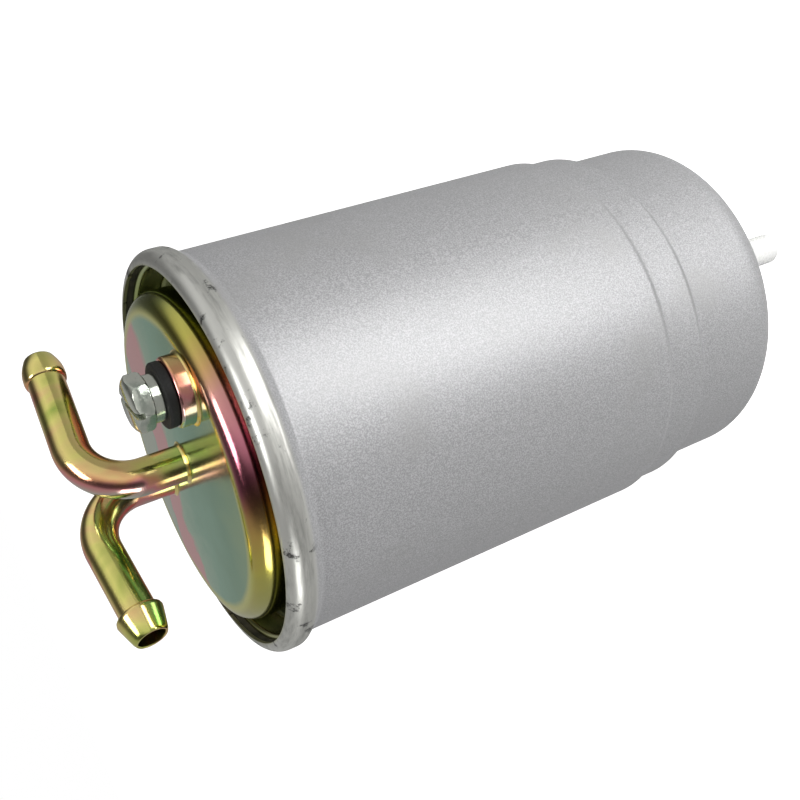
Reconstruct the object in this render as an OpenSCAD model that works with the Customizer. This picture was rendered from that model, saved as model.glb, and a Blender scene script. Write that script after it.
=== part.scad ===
// In-line canister fuel filter with a seamed end plate, two hose pipes, a vent screw
// and a drain plug. Z runs up the can's axis with the pipes at the top, and the origin
// is the middle of the straight wall that the bracket band clamps.

/* [Can] */
// Radius of the straight wall that the bracket band clamps
can_r = 42.5; // [42:0.1:43]
// Height of that straight wall
can_h = 85.7; // [80:0.1:90]
// Radius of the first step below the straight wall
waist_r = 41.35; // [41:0.05:41.6]
// Radius of the neck at the drain end
neck_r = 39.25; // [39:0.05:39.6]
// Height from the straight wall's lower edge to the second step
waist_h = 10.3; // [9:0.1:11]
// Height from the straight wall's lower edge to the can's bottom face
sump_h = 39.2; // [37:0.1:41]
// Thickness of the can's sheet
can_t = 0.8; // [0.7:0.05:0.9]
// Corner radius round the can's bottom
bottom_round = 8; // [7:0.5:8]

/* [Rim] */
// Outer radius of the rolled rim
rim_r = 44.4; // [44.2:0.1:44.6]
// Height of the rim's top above the straight wall
rim_h = 7.8; // [7.6:0.1:8]
// Radius of the roll's outer rounding
roll_r = 2.8; // [2.6:0.1:2.9]

/* [End plate] */
// Radius of the flat top of the dome
face_r = 32.2; // [32:0.1:32.4]
// Rounding between the dome's flat top and its wall
shoulder_r = 4; // [3.5:0.1:4]
// Height of the dome's flat top above the rim
face_rise = 3.1; // [2.5:0.1:3.5]
// Depth of the moat's floor below the rim's top
moat_d = 9; // [8.5:0.1:9]
// Radius of the moat's outer wall
moat_r = 40.6; // [40.4:0.1:40.6]
// Thickness of the end plate's sheet
plate_t = 1.4; // [1.2:0.1:1.5]

/* [Pipes] */
// Outer radius of both pipes
pipe_r = 4; // [4:0.1:4]
// Radius of both pipes' bores
pipe_bore_r = 3; // [2.8:0.1:3.1]
// Radius of the bend's centre line
bend_r = 11.3; // [11:0.1:12]
// Angle each pipe is bent through
bend_a = 94; // [90:1:95]
// Height of the straight part above the end plate
riser_h = 8.4; // [8:0.1:10]
// Length of the outlet's leg from the bend to the bead
outlet_leg = 18; // [16:0.1:22]
// Length of the inlet's leg from the bend to the bead
inlet_leg = 15.7; // [14:0.1:20]
// Distance of the inlet pipe from the can's axis
inlet_off = 15.7; // [15:0.1:18]
// Direction of the inlet pipe's hole from the can's axis
inlet_dir = 66; // [60:1:75]
// Largest radius of the outlet's bead
outlet_bead_r = 4.55; // [4.4:0.05:4.8]
// Largest radius of the inlet's bead
inlet_bead_r = 5.1; // [4.8:0.05:5.2]
// Length of each bead
bead_l = 6.6; // [6:0.1:7]

/* [Vent] */
// Distance of the vent from the can's axis
vent_off = 25.7; // [25:0.1:25.8]
// Direction of the vent from the can's axis
vent_dir = -90; // [-95:1:-85]
// Outer radius of the vent's boss
vent_boss_r = 7.1; // [7:0.1:7.2]
// Height of the vent's boss
vent_boss_h = 3.4; // [3:0.1:4]
// Width of the screw's head across its flats
vent_af = 10; // [9.5:0.1:10]
// Radius of the screw's thread
vent_thread_r = 4; // [4:0.1:4]

/* [Drain] */
// Distance of the drain from the can's axis
drain_off = 24.3; // [24.2:0.1:24.4]
// Direction of the drain from the can's axis
drain_dir = -116; // [-120:1:-110]
// Outer radius of the drain's hose nipple
nipple_r = 3.6; // [3.5:0.1:3.8]
// Length of the hose nipple
nipple_l = 10.6; // [9:0.1:12]
// Width of the drain plug's head across its flats
drain_af = 11; // [10.5:0.1:11]

/* [Element] */
// Outer radius of the pleats
pleat_r = 33; // [32:0.1:33.5]
// Inner radius of the pleats
pleat_core_r = 16; // [15.8:0.1:16.5]
// Number of pleats
pleats = 48; // [40:1:52]
// Thickness of the paper
paper_t = 0.5; // [0.4:0.05:0.6]
// Height of the underside of the top cap
element_top = 37; // [36:0.1:38]
// Height of the upper side of the bottom cap
element_low = -48; // [-49:0.1:-46]
// Number of hole rows in the centre tube
tube_rows = 10; // [8:1:11]
// Turns of the pressure spring
spring_turns = 5; // [4:1:6]
// Radius of the spring's wire
wire_r = 0.9; // [0.8:0.05:1]

/* [Hidden] */
$fn = 96;

fit = 0.05;
wall_top = can_h / 2;
wall_low = -can_h / 2;
rim_top = wall_top + rim_h;
bottom_z = wall_low - sump_h;
face_z = rim_top + face_rise;
moat_z = rim_top - moat_d;
flange_z = rim_top - 2.25;
inlet_xy = inlet_off * [cos(inlet_dir), sin(inlet_dir)];
vent_xy = vent_off * [cos(vent_dir), sin(vent_dir)];
drain_xy = drain_off * [cos(drain_dir), sin(drain_dir)];
boss_top = face_z + vent_boss_h;
vent_seal_t = 2;
vent_neck_z = boss_top + vent_seal_t + 2 * fit;
vent_neck_h = 2.1;
vent_head_h = 3.8;
dish_z = bottom_z + 2;
insert_low = bottom_z - 0.6;
drain_seal_t = 1.1;
plug_top = insert_low - drain_seal_t - 2 * fit;
plug_head_h = 3;
element_mid = (element_top + element_low) / 2;
seat_z = element_low - 2.2;

// Points of an arc about c, from angle a to angle b
function arc(c, r, a, b, n = 6) =
    [for (i = [0:n]) c + r * [cos(a + (b - a) * i / n), sin(a + (b - a) * i / n)]];

// Points of a step inwards from radius R to radius r that starts at height z
function step_in(R, r, z, q1, q2) =
    let (drop = (q1 + q2) * sin(45) + (R - r) - (q1 + q2) * (1 - cos(45)))
    concat(arc([R - q1, z], q1, 0, -45, 4), arc([r + q2, z - drop], q2, 135, 180, 4));

// Can: one sheet from the rolled rim down the stepped wall and across the bottom
module can_shell() {
    inner_r = can_r - can_t;
    roll_z = rim_top - roll_r;
    roll_c = rim_r - roll_r;
    outside = concat(
        arc([roll_c, roll_z], roll_r, 90, 0, 8),
        arc([rim_r - 1.5, wall_top + 3.35], 1.5, 0, -40, 3),
        arc([can_r + 1.5, wall_top - 0.25], 1.5, 140, 180, 3),
        step_in(can_r, waist_r, wall_low, 1.6, 1.6),
        step_in(waist_r, neck_r, wall_low - waist_h, 1.2, 1.2),
        arc([neck_r - bottom_round, bottom_z + bottom_round], bottom_round, 0, -90, 8),
        [[13.5, bottom_z], [11.5, dish_z], [0, dish_z]]
    );
    in_round = bottom_round - can_t;
    inside = concat(
        [[0, dish_z + can_t], [11.9, dish_z + can_t], [13.9, bottom_z + can_t]],
        arc([neck_r - bottom_round, bottom_z + bottom_round], in_round, -90, 0, 8),
        [for (p = [4:-1:0]) let (s = step_in(waist_r - can_t, neck_r - can_t,
            wall_low - waist_h, 0.4, 2)) s[p + 5]],
        [for (p = [4:-1:0]) let (s = step_in(waist_r - can_t, neck_r - can_t,
            wall_low - waist_h, 0.4, 2)) s[p]],
        [for (p = [9:-1:0]) step_in(inner_r, waist_r - can_t, wall_low, 0.8, 2.4)[p]],
        arc([can_r + 1.5, wall_top - 0.25], 1.5 + can_t, 180, 140, 3),
        arc([rim_r - 1.5, wall_top + 3.35], 1.5 - can_t, -40, 0, 3),
        arc([roll_c, roll_z], roll_r - can_t, 0, 90, 8)
    );
    color("silver")
    difference() {
        rotate_extrude() polygon(concat(outside, inside));
        translate([drain_xy.x, drain_xy.y, bottom_z - 1]) cylinder(h = 3, r = 6 + fit);
    }
}

// End plate: dome, moat and the flange that the can's rim is rolled over
module end_plate() {
    wall_r = face_r + shoulder_r;
    shoulder_z = face_z - shoulder_r;
    out_r = moat_r + 1;
    above = concat(
        [[0, face_z]],
        arc([face_r, shoulder_z], shoulder_r, 90, 0, 8),
        arc([wall_r + 1.5, moat_z + 1.5], 1.5, 180, 270, 4),
        arc([moat_r - 1.5, moat_z + 1.5], 1.5, 270, 360, 4),
        arc([moat_r + 1, flange_z - 1], 1, 180, 90, 4),
        [[rim_r - 1.2, flange_z]]
    );
    below = concat(
        [[rim_r - 1.2, flange_z - 1], [out_r, flange_z - 1]],
        [[out_r, moat_z - 0.4], [out_r - 0.6, moat_z - 1], [wall_r + 0.8, moat_z - 1]],
        [[wall_r - plate_t, moat_z], [wall_r - plate_t, shoulder_z]],
        arc([face_r, shoulder_z], shoulder_r - plate_t, 0, 90, 6),
        [[0, face_z - plate_t]]
    );
    color("yellowgreen")
    difference() {
        rotate_extrude() polygon(concat(above, below));
        translate([0, 0, face_z - 3]) cylinder(h = 4, r = pipe_r + fit);
        translate([inlet_xy.x, inlet_xy.y, face_z - 3]) cylinder(h = 4, r = pipe_r + fit);
        translate([vent_xy.x, vent_xy.y, face_z - 3]) cylinder(h = 4, r = 5.5 + fit);
    }
}

// Sealing compound between the flange and the rolled rim
module seam_gasket() {
    z = flange_z + fit;
    r = rim_r - roll_r + 0.1;
    color("dimgray")
    rotate_extrude()
    polygon([[r, z], [r + 1.6, z], [r + 1.2, z + 0.65], [r + 0.5, z + 1.15], [r, z + 1.3]]);
}

// Hose pipe: stub through the plate, riser, bend, leg and beaded end, bent towards +X
module hose_pipe(stub_z, leg, bead_r, crown, tip_r) {
    riser_top = face_z + riser_h;
    leg_at = [bend_r * (1 - cos(bend_a)), 0, riser_top + bend_r * sin(bend_a)];
    steps = 8;
    // The bend's wall runs a little way into both straight walls
    lap_a = 2;
    lap_r = 0.03;
    $fn = 56;
    translate([0, 0, stub_z]) difference() {
        cylinder(h = riser_top - stub_z, r = pipe_r);
        translate([0, 0, -1]) cylinder(h = riser_top - stub_z + 2, r = pipe_bore_r);
    }
    translate([bend_r, 0, riser_top]) rotate([90, 0, 0])
        rotate([0, 0, 180 - bend_a - lap_a])
        rotate_extrude(angle = bend_a + 2 * lap_a) translate([bend_r, 0])
        difference() {
            circle(r = pipe_r - lap_r);
            circle(r = pipe_bore_r + lap_r);
        }
    translate(leg_at) rotate([0, bend_a, 0]) rotate_extrude() polygon(concat(
        [[pipe_bore_r, 0], [pipe_r, 0], [pipe_r, leg], [bead_r - 0.25, leg + 0.5]],
        [for (i = [0:steps]) [
            bead_r + (tip_r - bead_r) * i / steps + crown * sin(180 * i / steps),
            leg + 1.1 + (bead_l - 1.6) * i / steps]],
        [[tip_r - 0.35, leg + bead_l], [pipe_bore_r, leg + bead_l]]
    ));
}

// Outlet pipe on the can's axis: its stub reaches down into the element
module outlet_pipe() {
    color("goldenrod")
    hose_pipe(element_top - 3, outlet_leg, outlet_bead_r, 0.35, 3.5);
}

// Inlet pipe beside it, with its leg turned the opposite way
module inlet_pipe() {
    color("goldenrod")
    translate([inlet_xy.x, inlet_xy.y, 0]) rotate([0, 0, 180])
        hose_pipe(face_z - plate_t - 2, inlet_leg, inlet_bead_r, 0, 3.75);
}

// Thin ring of braze in the corner between a round part of radius r and the plate
module braze_ring(r, w) {
    rotate_extrude()
    polygon([[r + 0.03, 0.02], [r + w, 0.02], [r + w * 0.45, w * 0.3], [r + 0.03, w * 0.85]]);
}

module outlet_braze() {
    color("khaki") translate([0, 0, face_z]) braze_ring(pipe_r, 0.7);
}

module inlet_braze() {
    color("khaki") translate([inlet_xy.x, inlet_xy.y, face_z]) braze_ring(pipe_r, 0.7);
}

// Vent boss: threaded seat for the vent screw, with a spigot through the end plate
module vent_boss() {
    color("peru")
    translate([vent_xy.x, vent_xy.y, 0])
    difference() {
        rotate_extrude() polygon(concat(
            [[0, face_z - plate_t - 1.3], [5.5, face_z - plate_t - 1.3], [5.5, face_z + 0.02]],
            [[vent_boss_r, face_z + 0.02]],
            arc([vent_boss_r - 0.5, boss_top - 0.5], 0.5, 0, 90, 4),
            [[0, boss_top]]
        ));
        translate([0, 0, face_z - 5]) cylinder(h = 12, r = vent_thread_r + fit);
    }
}

module vent_braze() {
    color("khaki") translate([vent_xy.x, vent_xy.y, face_z]) braze_ring(vent_boss_r, 0.6);
}

// Rubber washer under the vent screw
module vent_seal() {
    color("black")
    translate([vent_xy.x, vent_xy.y, boss_top + fit])
    rotate_extrude() polygon(concat(
        [[vent_thread_r + 0.1, 0], [6.2, 0]],
        arc([6.2, 0.4], 0.4, -90, 0, 3),
        arc([6.2, vent_seal_t - 0.4], 0.4, 0, 90, 3),
        [[vent_thread_r + 0.1, vent_seal_t]]
    ));
}

// Vent screw: slotted hexagon head, neck and threaded shank
module vent_screw() {
    across = vent_af / sqrt(3);
    shank_l = 11;
    color("gainsboro")
    translate([vent_xy.x, vent_xy.y, vent_neck_z])
    difference() {
        union() {
            cylinder(h = vent_neck_h, r = 4.75);
            translate([0, 0, -shank_l]) cylinder(h = shank_l + 0.1, r = vent_thread_r);
            intersection() {
                translate([0, 0, vent_neck_h]) rotate([0, 0, 25])
                    cylinder(h = vent_head_h, r = across, $fn = 6);
                translate([0, 0, vent_neck_h - 0.2]) rotate_extrude() polygon([
                    [0, 0], [5.35, 0], [across + 0.1, 0.6], [across + 0.1, vent_head_h - 1.2],
                    [4.3, vent_head_h + 0.2], [0, vent_head_h + 0.2]
                ]);
            }
        }
        translate([0, 0, vent_neck_h + vent_head_h]) rotate([0, 0, 25])
            cube([14, 1.3, 3.2], center = true);
        translate([0, 0, -shank_l - 1]) cylinder(h = shank_l - 1, r = 1.2);
        translate([-6, 0, -4]) rotate([0, 90, 0]) cylinder(h = 12, r = 0.8);
    }
}

// Threaded insert in the can's bottom that takes the drain plug
module drain_insert() {
    color("peru")
    translate([drain_xy.x, drain_xy.y, 0])
    difference() {
        union() {
            translate([0, 0, insert_low]) cylinder(h = 2, r = 6);
            translate([0, 0, bottom_z + can_t + fit]) cylinder(h = 1.6, r = 6.7);
        }
        translate([0, 0, insert_low - 1]) cylinder(h = 8, r = 4 + fit);
    }
}

// Weld ring that fixes the insert to the can's bottom
module drain_weld() {
    color("dimgray")
    translate([drain_xy.x, drain_xy.y, bottom_z - 0.02]) rotate([180, 0, 0])
        rotate_extrude()
        polygon([[6.03, 0], [6.6, 0], [6.35, 0.25], [6.03, 0.4]]);
}

// Flat seal between the insert and the drain plug's head
module drain_seal() {
    color("black")
    translate([drain_xy.x, drain_xy.y, insert_low - drain_seal_t - fit])
    difference() {
        cylinder(h = drain_seal_t, r = 5.6);
        translate([0, 0, -1]) cylinder(h = 4, r = 4.1);
    }
}

// Drain plug: threaded shank, hexagon head and hose nipple, with a drain passage
module drain_plug() {
    shank_l = 7.5;
    tip = plug_head_h + nipple_l;
    color("white")
    translate([drain_xy.x, drain_xy.y, plug_top])
    difference() {
        union() {
            translate([0, 0, -0.2]) cylinder(h = shank_l + 0.2, r = 4);
            intersection() {
                translate([0, 0, -plug_head_h]) rotate([0, 0, 15])
                    cylinder(h = plug_head_h, r = drain_af / sqrt(3), $fn = 6);
                translate([0, 0, -plug_head_h]) rotate_extrude()
                    polygon([[0, 0], [5.4, 0], [6.4, 0.6], [6.4, plug_head_h], [0, plug_head_h]]);
            }
            translate([0, 0, -tip]) rotate_extrude() polygon(concat(
                [[0, 0]],
                arc([nipple_r - 1.1, 1.1], 1.1, -90, 0, 5),
                [[nipple_r, tip - plug_head_h + 0.2], [0, tip - plug_head_h + 0.2]]
            ));
        }
        translate([0, 0, -tip - 1]) cylinder(h = tip + 4.6, r = 1.6);
        translate([-6, 0, 2.4]) rotate([0, 90, 0]) cylinder(h = 12, r = 1.1);
    }
}

// One closed band of folded paper
module pleated_paper() {
    half = 180 / pleats;
    low = element_low + 1.6;
    // Tangential half widths at the outer fold and at the inner fold
    tip_w = 0.8;
    root_w = 0.45;
    function at(r, a) = r * [cos(a), sin(a)];
    function deg(w, r) = w / r * 180 / PI;
    to = deg(tip_w + paper_t / 2, pleat_r);
    ti = deg(tip_w - paper_t / 2, pleat_r);
    ro = deg(root_w - paper_t / 3, pleat_core_r);
    ri = deg(root_w + paper_t / 2, pleat_core_r);
    outer = [for (i = [0:pleats - 1]) let (a = 2 * half * i) each [
        at(pleat_r, a - to), at(pleat_r, a + to),
        at(pleat_core_r + paper_t, a + half - ro), at(pleat_core_r + paper_t, a + half + ro)]];
    inner = [for (i = [0:pleats - 1]) let (a = 2 * half * i) each [
        at(pleat_r - paper_t, a - ti), at(pleat_r - paper_t, a + ti),
        at(pleat_core_r, a + half - ri), at(pleat_core_r, a + half + ri)]];
    color("wheat")
    translate([0, 0, low])
    linear_extrude(height = element_top - 1.6 - low)
    difference() {
        polygon(outer);
        polygon(inner);
    }
}

// Steel strip folded over the joint of the paper band, between two pleats
module pleat_clip() {
    low = element_low + 1.8;
    color("lightgray")
    rotate([0, 0, 180 / pleats])
    translate([pleat_r - 6, -0.4, low]) cube([5.8, 0.8, element_top - 1.8 - low]);
}

// Dished cap; skirt points up (1) or down (-1) from height z
module end_cap(z, skirt, hole) {
    r = pleat_r + 0.8;
    translate([0, 0, z]) mirror([0, 0, skirt < 0 ? 1 : 0])
    rotate_extrude() polygon([
        [hole, -1], [r - 0.6, -1], [r, -0.4], [r, 4],
        [r - 0.6, 4], [r - 0.6, 0], [hole, 0]
    ]);
}

module top_cap() {
    color("lightgray") end_cap(element_top, -1, 6.5);
}

module bottom_cap() {
    color("lightgray") end_cap(element_low, 1, 0);
}

// Adhesive that bonds the pleats and the centre tube into a cap
module potting(z) {
    translate([0, 0, z]) difference() {
        cylinder(h = 1.5, r = pleat_r + 0.1);
        translate([0, 0, -1]) cylinder(h = 4, r = 14.6);
    }
}

module top_potting() {
    color("darkseagreen") potting(element_top - 1.55);
}

module bottom_potting() {
    color("darkseagreen") potting(element_low + 0.05);
}

// Perforated tube inside the pleats
module centre_tube() {
    h = element_top - element_low - 0.2;
    pitch = (h - 16) / (tube_rows - 1);
    color("lightgray")
    translate([0, 0, element_low + 0.1])
    difference() {
        cylinder(h = h, r = 14.5);
        translate([0, 0, -1]) cylinder(h = h + 2, r = 13.9);
        for (row = [0:tube_rows - 1], k = [0:9])
            rotate([0, 0, 36 * k + (row % 2) * 18])
                translate([12, 0, 8 + pitch * row])
                rotate([0, 90, 0]) cylinder(h = 4, r = 1.8);
    }
}

// Rubber grommet that seals the top cap to the outlet pipe's stub
module outlet_grommet() {
    r = pipe_r + fit;
    color("black")
    rotate_extrude() polygon([
        [r, element_top - 2.4], [7.2, element_top - 2.4], [7.8, element_top - 1.8],
        [7.8, element_top - fit], [6.45, element_top - fit], [6.45, element_top + 1 + fit],
        [7.8, element_top + 1 + fit], [7.4, element_top + 2.6], [r, element_top + 3.4]
    ]);
}

// Pressed cup that centres the spring under the bottom cap
module spring_seat() {
    color("lightgray")
    rotate_extrude() polygon([
        [0, seat_z], [17, seat_z], [17, seat_z - 3], [18, seat_z - 3],
        [18, seat_z + 0.6], [17.5, seat_z + 1.1], [0, seat_z + 1.1]
    ]);
}

// Coil spring that holds the element up against the outlet pipe
module pressure_spring() {
    mean_r = 15.2;
    low = bottom_z + can_t + wire_r + fit;
    high = seat_z - wire_r - fit;
    sides = 10;
    steps = 30 * (spring_turns + 2);
    // Height along the wire: a flat coil at each end and an even pitch between
    function rise(t) = let (n = spring_turns + 2, f = (t * n - 1) / (n - 2))
        low + (high - low - 4.2 * wire_r) * min(1, max(0, f)) + 2.1 * wire_r
            * (min(1, t * n) + min(1, max(0, t * n - n + 1)));
    function ring(t) = let (a = 360 * (spring_turns + 2) * t) [for (s = [0:sides - 1])
        let (b = 360 * s / sides, r = mean_r + wire_r * cos(b))
        [r * cos(a), r * sin(a), rise(t) + wire_r * sin(b)]];
    points = [for (i = [0:steps]) each ring(i / steps)];
    sheets = [for (i = [0:steps - 1], s = [0:sides - 1]) let (n = (s + 1) % sides)
        [i * sides + s, i * sides + n, (i + 1) * sides + n, (i + 1) * sides + s]];
    ends = [[for (s = [sides - 1:-1:0]) s], [for (s = [0:sides - 1]) steps * sides + s]];
    color("slategray")
    polyhedron(points = points, faces = concat(sheets, ends));
}

can_shell();
end_plate();
seam_gasket();
outlet_pipe();
inlet_pipe();
outlet_braze();
inlet_braze();
vent_boss();
vent_braze();
vent_seal();
vent_screw();
drain_insert();
drain_weld();
drain_seal();
drain_plug();
pleated_paper();
pleat_clip();
top_cap();
bottom_cap();
top_potting();
bottom_potting();
centre_tube();
outlet_grommet();
spring_seat();
pressure_spring();
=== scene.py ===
"""Looks for the in-line canister fuel filter: painted can, plated end plate and pipes,
vent screw, drain plug and filter element."""

import math

import bpy
from mathutils import Matrix, Vector


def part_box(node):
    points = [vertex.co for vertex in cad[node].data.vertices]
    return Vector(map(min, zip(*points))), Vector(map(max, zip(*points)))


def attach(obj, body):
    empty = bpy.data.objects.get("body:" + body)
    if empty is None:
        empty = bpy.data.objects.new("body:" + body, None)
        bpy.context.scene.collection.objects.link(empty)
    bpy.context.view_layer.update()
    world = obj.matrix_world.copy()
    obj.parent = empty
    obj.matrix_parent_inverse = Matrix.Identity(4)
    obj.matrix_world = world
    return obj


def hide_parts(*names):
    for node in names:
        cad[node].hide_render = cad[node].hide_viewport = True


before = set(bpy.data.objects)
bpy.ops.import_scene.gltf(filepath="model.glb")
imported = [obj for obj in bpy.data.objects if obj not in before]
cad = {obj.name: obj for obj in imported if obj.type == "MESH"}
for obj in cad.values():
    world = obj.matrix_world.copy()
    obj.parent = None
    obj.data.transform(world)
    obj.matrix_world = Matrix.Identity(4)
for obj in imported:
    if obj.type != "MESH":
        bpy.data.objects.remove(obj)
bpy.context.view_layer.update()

# Sizes in metres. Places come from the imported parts' boxes.
MM = 0.001
can_low, can_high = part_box("can_shell")
_, plate_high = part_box("end_plate")
outlet_low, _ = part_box("outlet_pipe")
inlet_low, inlet_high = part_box("inlet_pipe")
boss_low, boss_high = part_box("vent_boss")
seal_low, seal_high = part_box("vent_seal")
screw_low, screw_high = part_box("vent_screw")
plug_low, plug_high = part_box("drain_plug")
drain_seal_low, drain_seal_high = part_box("drain_seal")

RIM_TOP = can_high.z
RIM_R = can_high.x
CAN_BOTTOM = can_low.z
FACE_Z = plate_high.z
CAN_R = RIM_R - 1.9 * MM
WAIST_R = CAN_R - 1.15 * MM
NECK_R = CAN_R - 3.25 * MM
WALL_TOP = RIM_TOP - 7.8 * MM
WALL_LOW = WALL_TOP - 85.7 * MM
SHEET = 0.8 * MM
PLATE = 1.4 * MM
FACE_R = 32.2 * MM
SHOULDER = 4.0 * MM
MOAT_R = 40.6 * MM
MOAT_Z = RIM_TOP - 9.0 * MM
FLANGE_Z = RIM_TOP - 2.25 * MM
PIPE_R = 4.0 * MM
BORE_R = 3.0 * MM
BEND_R = 11.3 * MM
BEND_A = math.radians(94)
RISER_TOP = FACE_Z + 8.4 * MM
BEAD_L = 6.6 * MM
OUTLET_LEG = 18.0 * MM
INLET_LEG = 15.7 * MM
BOSS = Vector(((boss_low.x + boss_high.x) / 2, (boss_low.y + boss_high.y) / 2, boss_high.z))
BOSS_R = (boss_high.x - boss_low.x) / 2
PLUG = Vector((
    (drain_seal_low.x + drain_seal_high.x) / 2,
    (drain_seal_low.y + drain_seal_high.y) / 2,
    drain_seal_low.z,
))
INLET = Vector((inlet_high.x - PIPE_R, (inlet_low.y + inlet_high.y) / 2, FACE_Z))
OUTLET = Vector((0, 0, FACE_Z))

# The can's rolled edge, bottom corner, dish and steps
ROLL = 2.8 * MM
BOTTOM_ROUND = 8 * MM
DISH_Z = CAN_BOTTOM + 2 * MM
STEP_GAP = 10.3 * MM

# Screws: hexagons across their flats, running gap under the heads, shanks and threads
VENT_FLATS = 10 * MM
DRAIN_FLATS = 11 * MM
SLOT_TURN = 25
DRAIN_TURN = 15
SLOT_WIDE = 1.3 * MM
SLOT_DEEP = 1.6 * MM
UNDER_HEAD = 0.05 * MM
SHANK_R = 3.97 * MM
VENT_PITCH = 1.0 * MM
DRAIN_PITCH = 1.25 * MM
DRAIN_HEAD = 3 * MM
NIPPLE_R = 3.6 * MM
DRAIN_BORE_R = 1.6 * MM
SEAL_BORE_R = 4.1 * MM

# Camera: placed round a point on the can's axis, then rolled so that the can lies across the view
CAMERA_AIM = Vector((-0.0026, 0.0015, 0.0014))
CAMERA_DISTANCE = 0.2425
CAMERA_AZIMUTH = math.radians(-120.32)
CAMERA_HEIGHT = math.radians(25.27)
CAMERA_ROLL = math.radians(109.68)


def place_camera():
    back = Vector((
        math.cos(CAMERA_HEIGHT) * math.cos(CAMERA_AZIMUTH),
        math.cos(CAMERA_HEIGHT) * math.sin(CAMERA_AZIMUTH),
        math.sin(CAMERA_HEIGHT),
    ))
    turn = (-back).to_track_quat("-Z", "Y").to_matrix() @ Matrix.Rotation(-CAMERA_ROLL, 3, "Z")
    bpy.ops.object.camera_add(location=CAMERA_AIM + back * CAMERA_DISTANCE, rotation=turn.to_euler())
    cam = bpy.context.object
    cam.name = "filter_camera"
    cam.data.lens = 47.2
    cam.data.sensor_width = 36
    cam.data.clip_start = 0.01
    cam.data.clip_end = 20
    bpy.context.scene.camera = cam


# ---------------------------------------------------------------- making pieces


def clear_selection():
    if bpy.context.object and bpy.context.object.mode != "OBJECT":
        bpy.ops.object.mode_set(mode="OBJECT")
    bpy.ops.object.select_all(action="DESELECT")


def name_piece(name):
    piece = bpy.context.object
    piece.name = name
    piece.data.name = name
    return piece


def settle(piece, smooth=35):
    """Puts the piece's place into its mesh, points its faces outwards and smooths the round ones."""
    clear_selection()
    piece.select_set(True)
    bpy.context.view_layer.objects.active = piece
    bpy.ops.object.transform_apply(location=True, rotation=True, scale=True)
    bpy.ops.object.mode_set(mode="EDIT")
    bpy.ops.mesh.select_all(action="SELECT")
    bpy.ops.mesh.remove_doubles(threshold=0.000002)
    bpy.ops.mesh.normals_make_consistent(inside=False)
    bpy.ops.object.mode_set(mode="OBJECT")
    bpy.ops.object.shade_smooth_by_angle(angle=math.radians(smooth))
    piece.select_set(False)


def apply_modifier(piece, kind, **values):
    clear_selection()
    piece.select_set(True)
    bpy.context.view_layer.objects.active = piece
    mod = piece.modifiers.new(kind.lower(), kind)
    for key, value in values.items():
        setattr(mod, key, value)
    bpy.ops.object.modifier_apply(modifier=mod.name)


def cut_away(piece, tool):
    """Takes the tool's shape out of the piece and throws the tool away."""
    apply_modifier(piece, "BOOLEAN", operation="DIFFERENCE", object=tool, solver="EXACT")
    bpy.data.objects.remove(tool)


def keep_inside(piece, tool):
    apply_modifier(piece, "BOOLEAN", operation="INTERSECT", object=tool, solver="EXACT")
    bpy.data.objects.remove(tool)


def join_into(piece, *others):
    clear_selection()
    for o in (*others, piece):
        o.select_set(True)
    bpy.context.view_layer.objects.active = piece
    bpy.ops.object.join()


def round_corner(c, r, a, b, n=8):
    """(radius, height) points of a rounding about c, from angle a to angle b in degrees."""
    turns = [math.radians(a + (b - a) * i / n) for i in range(n + 1)]
    return [(c[0] + r * math.cos(t), c[1] + r * math.sin(t)) for t in turns]


def follow_outline(outline, centre):
    """Carries the selected ring along an outline of (radius, height) points, leaving a wall behind it."""
    for (r0, z0), (r1, z1) in zip(outline, outline[1:]):
        bpy.ops.mesh.extrude_region_move(TRANSFORM_OT_translate={"value": (0, 0, z1 - z0)})
        if abs(r1 - r0) > 1e-9:
            k = r1 / r0
            bpy.ops.transform.resize(value=(k, k, 1), center_override=(centre[0], centre[1], z1))


def turned(name, outline, centre=(0, 0), segments=128, solid=False, smooth=35):
    """A piece turned round an upright axis.

    A solid outline starts and ends at a flat face on the axis, any other closes on itself.
    """
    clear_selection()
    radius, height = outline[0]
    bpy.ops.mesh.primitive_circle_add(
        vertices=segments, radius=radius, fill_type="NGON" if solid else "NOTHING",
        location=(centre[0], centre[1], height),
    )
    piece = name_piece(name)
    bpy.ops.object.mode_set(mode="EDIT")
    bpy.ops.mesh.select_all(action="SELECT")
    follow_outline(outline if solid else outline + outline[:1], centre)
    bpy.ops.object.mode_set(mode="OBJECT")
    settle(piece, smooth)
    return piece


def rod(name, centre, radius, z0, z1, segments=64):
    """A plain tool for cutting holes."""
    clear_selection()
    bpy.ops.mesh.primitive_cylinder_add(
        vertices=segments, radius=radius, depth=z1 - z0, location=(centre[0], centre[1], (z0 + z1) / 2)
    )
    piece = name_piece(name)
    settle(piece)
    return piece


# ---------------------------------------------------------------- the can


def step_in(r0, r1, z, q1, q2):
    """Outline of a soft step inwards from radius r0 to r1, starting at height z."""
    side = math.sin(math.radians(45))
    drop = (q1 + q2) * side + (r0 - r1) - (q1 + q2) * (1 - side)
    return round_corner((r0 - q1, z), q1, 0, -45, 5) + round_corner((r1 + q2, z - drop), q2, 135, 180, 5)


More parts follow.
